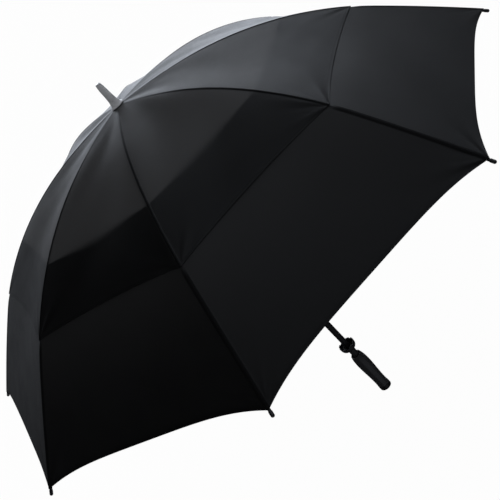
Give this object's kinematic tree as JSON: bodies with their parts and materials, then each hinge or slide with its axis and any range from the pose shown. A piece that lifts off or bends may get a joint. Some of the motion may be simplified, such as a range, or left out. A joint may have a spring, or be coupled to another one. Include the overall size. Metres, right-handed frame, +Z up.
{
  "type": "golf umbrella",
  "caption": "Large open golf umbrella with a vented double canopy on radial ribs, straight shaft, sliding runner, contoured handle and pointed ferrule.",
  "frame": {"origin": "middle of the lower end of the handle, where the end cap meets the ground or its holder", "axes": "+Z up the shaft from the handle to the ferrule; +X along the first rib; ribs every 45 degrees about Z"},
  "size_m": [1.2986, 1.2986, 0.9685],
  "materials": {
    "steel_shaft": "black painted steel tube, satin",
    "steel_pin": "plain steel",
    "wire": "galvanised wire",
    "hub_plastic": "black moulded plastic, satin",
    "washer": "black rubber",
    "ferrule_plastic": "black moulded plastic, soft gloss",
    "grip_rubber": "black moulded rubber, matt",
    "end_cap_plastic": "black moulded plastic, soft gloss",
    "cup_plastic": "black moulded plastic, satin",
    "rib_fibreglass": "black fibreglass rod",
    "rib_steel": "black painted steel",
    "canopy_fabric": "black woven polyester, water repellent",
    "button_plastic": "dark grey moulded plastic"
  },
  "bodies": {
    "frame": {"shaft": "steel_shaft", "runner_stop": "steel_pin", "top_notch": "hub_plastic", "notch_ring": "wire", "crown_washer": "washer", "ferrule": "ferrule_plastic", "grip": "grip_rubber", "grip_end_cap": "end_cap_plastic", "handle_neck": "cup_plastic", "tip_cup": "cup_plastic"},
    "rib_1": {"rib_inner_1": "rib_fibreglass", "vent_canopy_1": "canopy_fabric"},
    "outer_1": {"rib_outer_1": "rib_fibreglass", "main_canopy_1": "canopy_fabric"},
    "stretcher_1": {"stretcher_1": "rib_steel"},
    "rib_2": {"rib_inner_2": "rib_fibreglass", "vent_canopy_2": "canopy_fabric"},
    "outer_2": {"rib_outer_2": "rib_fibreglass", "main_canopy_2": "canopy_fabric"},
    "stretcher_2": {"stretcher_2": "rib_steel"},
    "rib_3": {"rib_inner_3": "rib_fibreglass", "vent_canopy_3": "canopy_fabric"},
    "outer_3": {"rib_outer_3": "rib_fibreglass", "main_canopy_3": "canopy_fabric"},
    "stretcher_3": {"stretcher_3": "rib_steel"},
    "rib_4": {"rib_inner_4": "rib_fibreglass", "vent_canopy_4": "canopy_fabric"},
    "outer_4": {"rib_outer_4": "rib_fibreglass", "main_canopy_4": "canopy_fabric"},
    "stretcher_4": {"stretcher_4": "rib_steel"},
    "rib_5": {"rib_inner_5": "rib_fibreglass", "vent_canopy_5": "canopy_fabric"},
    "outer_5": {"rib_outer_5": "rib_fibreglass", "main_canopy_5": "canopy_fabric"},
    "stretcher_5": {"stretcher_5": "rib_steel"},
    "rib_6": {"rib_inner_6": "rib_fibreglass", "vent_canopy_6": "canopy_fabric"},
    "outer_6": {"rib_outer_6": "rib_fibreglass", "main_canopy_6": "canopy_fabric"},
    "stretcher_6": {"stretcher_6": "rib_steel"},
    "rib_7": {"rib_inner_7": "rib_fibreglass", "vent_canopy_7": "canopy_fabric"},
    "outer_7": {"rib_outer_7": "rib_fibreglass", "main_canopy_7": "canopy_fabric"},
    "stretcher_7": {"stretcher_7": "rib_steel"},
    "rib_8": {"rib_inner_8": "rib_fibreglass", "vent_canopy_8": "canopy_fabric"},
    "outer_8": {"rib_outer_8": "rib_fibreglass", "main_canopy_8": "canopy_fabric"},
    "stretcher_8": {"stretcher_8": "rib_steel"},
    "runner": {"runner": "hub_plastic", "runner_ring": "wire"},
    "button": {"runner_button": "button_plastic"}
  },
  "joints": [
    {"name": "rib_fold_1", "type": "hinge", "parent": "frame", "child": "rib_1", "pos_m": [0.012, 0, 0.9069], "axis": [0, 1, 0], "range_deg": [0, 73], "deforming": ["vent_canopy_1"]},
    {"name": "rib_flex_1", "type": "hinge", "parent": "rib_1", "child": "outer_1", "pos_m": [0.35172, 0, 0.82219], "axis": [0, -1, 0], "range_deg": [0, 21.9], "deforming": ["main_canopy_1"]},
    {"name": "stretcher_fold_1", "type": "hinge", "parent": "rib_1", "child": "stretcher_1", "pos_m": [0.34097, 0, 0.81874], "axis": [0, -1, 0], "range_deg": [0, 146]},
    {"name": "rib_fold_2", "type": "hinge", "parent": "frame", "child": "rib_2", "pos_m": [0.00848, 0.00848, 0.9069], "axis": [-0.7071, 0.7071, 0], "range_deg": [0, 73], "deforming": ["vent_canopy_2"]},
    {"name": "rib_flex_2", "type": "hinge", "parent": "rib_2", "child": "outer_2", "pos_m": [0.2487, 0.2487, 0.82219], "axis": [0.7071, -0.7071, 0], "range_deg": [0, 21.9], "deforming": ["main_canopy_2"]},
    {"name": "stretcher_fold_2", "type": "hinge", "parent": "rib_2", "child": "stretcher_2", "pos_m": [0.24111, 0.24111, 0.81874], "axis": [0.7071, -0.7071, 0], "range_deg": [0, 146]},
    {"name": "rib_fold_3", "type": "hinge", "parent": "frame", "child": "rib_3", "pos_m": [0, 0.012, 0.9069], "axis": [-1, 0, 0], "range_deg": [0, 73], "deforming": ["vent_canopy_3"]},
    {"name": "rib_flex_3", "type": "hinge", "parent": "rib_3", "child": "outer_3", "pos_m": [0, 0.35172, 0.82219], "axis": [1, 0, 0], "range_deg": [0, 21.9], "deforming": ["main_canopy_3"]},
    {"name": "stretcher_fold_3", "type": "hinge", "parent": "rib_3", "child": "stretcher_3", "pos_m": [0, 0.34097, 0.81874], "axis": [1, 0, 0], "range_deg": [0, 146]},
    {"name": "rib_fold_4", "type": "hinge", "parent": "frame", "child": "rib_4", "pos_m": [-0.00848, 0.00848, 0.9069], "axis": [-0.7071, -0.7071, 0], "range_deg": [0, 73], "deforming": ["vent_canopy_4"]},
    {"name": "rib_flex_4", "type": "hinge", "parent": "rib_4", "child": "outer_4", "pos_m": [-0.2487, 0.2487, 0.82219], "axis": [0.7071, 0.7071, 0], "range_deg": [0, 21.9], "deforming": ["main_canopy_4"]},
    {"name": "stretcher_fold_4", "type": "hinge", "parent": "rib_4", "child": "stretcher_4", "pos_m": [-0.24111, 0.24111, 0.81874], "axis": [0.7071, 0.7071, 0], "range_deg": [0, 146]},
    {"name": "rib_fold_5", "type": "hinge", "parent": "frame", "child": "rib_5", "pos_m": [-0.012, 0, 0.9069], "axis": [0, -1, 0], "range_deg": [0, 73], "deforming": ["vent_canopy_5"]},
    {"name": "rib_flex_5", "type": "hinge", "parent": "rib_5", "child": "outer_5", "pos_m": [-0.35172, 0, 0.82219], "axis": [0, 1, 0], "range_deg": [0, 21.9], "deforming": ["main_canopy_5"]},
    {"name": "stretcher_fold_5", "type": "hinge", "parent": "rib_5", "child": "stretcher_5", "pos_m": [-0.34097, 0, 0.81874], "axis": [0, 1, 0], "range_deg": [0, 146]},
    {"name": "rib_fold_6", "type": "hinge", "parent": "frame", "child": "rib_6", "pos_m": [-0.00848, -0.00848, 0.9069], "axis": [0.7071, -0.7071, 0], "range_deg": [0, 73], "deforming": ["vent_canopy_6"]},
    {"name": "rib_flex_6", "type": "hinge", "parent": "rib_6", "child": "outer_6", "pos_m": [-0.2487, -0.2487, 0.82219], "axis": [-0.7071, 0.7071, 0], "range_deg": [0, 21.9], "deforming": ["main_canopy_6"]},
    {"name": "stretcher_fold_6", "type": "hinge", "parent": "rib_6", "child": "stretcher_6", "pos_m": [-0.24111, -0.24111, 0.81874], "axis": [-0.7071, 0.7071, 0], "range_deg": [0, 146]},
    {"name": "rib_fold_7", "type": "hinge", "parent": "frame", "child": "rib_7", "pos_m": [0, -0.012, 0.9069], "axis": [1, 0, 0], "range_deg": [0, 73], "deforming": ["vent_canopy_7"]},
    {"name": "rib_flex_7", "type": "hinge", "parent": "rib_7", "child": "outer_7", "pos_m": [0, -0.35172, 0.82219], "axis": [-1, 0, 0], "range_deg": [0, 21.9], "deforming": ["main_canopy_7"]},
    {"name": "stretcher_fold_7", "type": "hinge", "parent": "rib_7", "child": "stretcher_7", "pos_m": [0, -0.34097, 0.81874], "axis": [-1, 0, 0], "range_deg": [0, 146]},
    {"name": "rib_fold_8", "type": "hinge", "parent": "frame", "child": "rib_8", "pos_m": [0.00848, -0.00848, 0.9069], "axis": [0.7071, 0.7071, 0], "range_deg": [0, 73], "deforming": ["vent_canopy_8"]},
    {"name": "rib_flex_8", "type": "hinge", "parent": "rib_8", "child": "outer_8", "pos_m": [0.2487, -0.2487, 0.82219], "axis": [-0.7071, -0.7071, 0], "range_deg": [0, 21.9], "deforming": ["main_canopy_8"]},
    {"name": "stretcher_fold_8", "type": "hinge", "parent": "rib_8", "child": "stretcher_8", "pos_m": [0.24111, -0.24111, 0.81874], "axis": [-0.7071, -0.7071, 0], "range_deg": [0, 146]},
    {"name": "runner_turn", "type": "hinge", "parent": "stretcher_1", "child": "runner", "pos_m": [0.012, 0, 0.73059], "axis": [0, 1, 0], "range_deg": [0, 73]},
    {"name": "button_press", "type": "slide", "parent": "runner", "child": "button", "axis": [-0.9239, -0.3827, 0], "range_m": [0, 0.002], "stiffness_N_per_m": 600, "springref_m": -0.001}
  ],
  "couplings": [
    {"joint": "rib_flex_1", "follows": "rib_fold_1", "ratio": 0.3},
    {"joint": "stretcher_fold_1", "follows": "rib_fold_1", "ratio": 2},
    {"joint": "rib_fold_2", "follows": "rib_fold_1", "ratio": 1},
    {"joint": "rib_flex_2", "follows": "rib_fold_1", "ratio": 0.3},
    {"joint": "stretcher_fold_2", "follows": "rib_fold_1", "ratio": 2},
    {"joint": "rib_fold_3", "follows": "rib_fold_1", "ratio": 1},
    {"joint": "rib_flex_3", "follows": "rib_fold_1", "ratio": 0.3},
    {"joint": "stretcher_fold_3", "follows": "rib_fold_1", "ratio": 2},
    {"joint": "rib_fold_4", "follows": "rib_fold_1", "ratio": 1},
    {"joint": "rib_flex_4", "follows": "rib_fold_1", "ratio": 0.3},
    {"joint": "stretcher_fold_4", "follows": "rib_fold_1", "ratio": 2},
    {"joint": "rib_fold_5", "follows": "rib_fold_1", "ratio": 1},
    {"joint": "rib_flex_5", "follows": "rib_fold_1", "ratio": 0.3},
    {"joint": "stretcher_fold_5", "follows": "rib_fold_1", "ratio": 2},
    {"joint": "rib_fold_6", "follows": "rib_fold_1", "ratio": 1},
    {"joint": "rib_flex_6", "follows": "rib_fold_1", "ratio": 0.3},
    {"joint": "stretcher_fold_6", "follows": "rib_fold_1", "ratio": 2},
    {"joint": "rib_fold_7", "follows": "rib_fold_1", "ratio": 1},
    {"joint": "rib_flex_7", "follows": "rib_fold_1", "ratio": 0.3},
    {"joint": "stretcher_fold_7", "follows": "rib_fold_1", "ratio": 2},
    {"joint": "rib_fold_8", "follows": "rib_fold_1", "ratio": 1},
    {"joint": "rib_flex_8", "follows": "rib_fold_1", "ratio": 0.3},
    {"joint": "stretcher_fold_8", "follows": "rib_fold_1", "ratio": 2},
    {"joint": "runner_turn", "follows": "rib_fold_1", "ratio": 1}
  ]
}
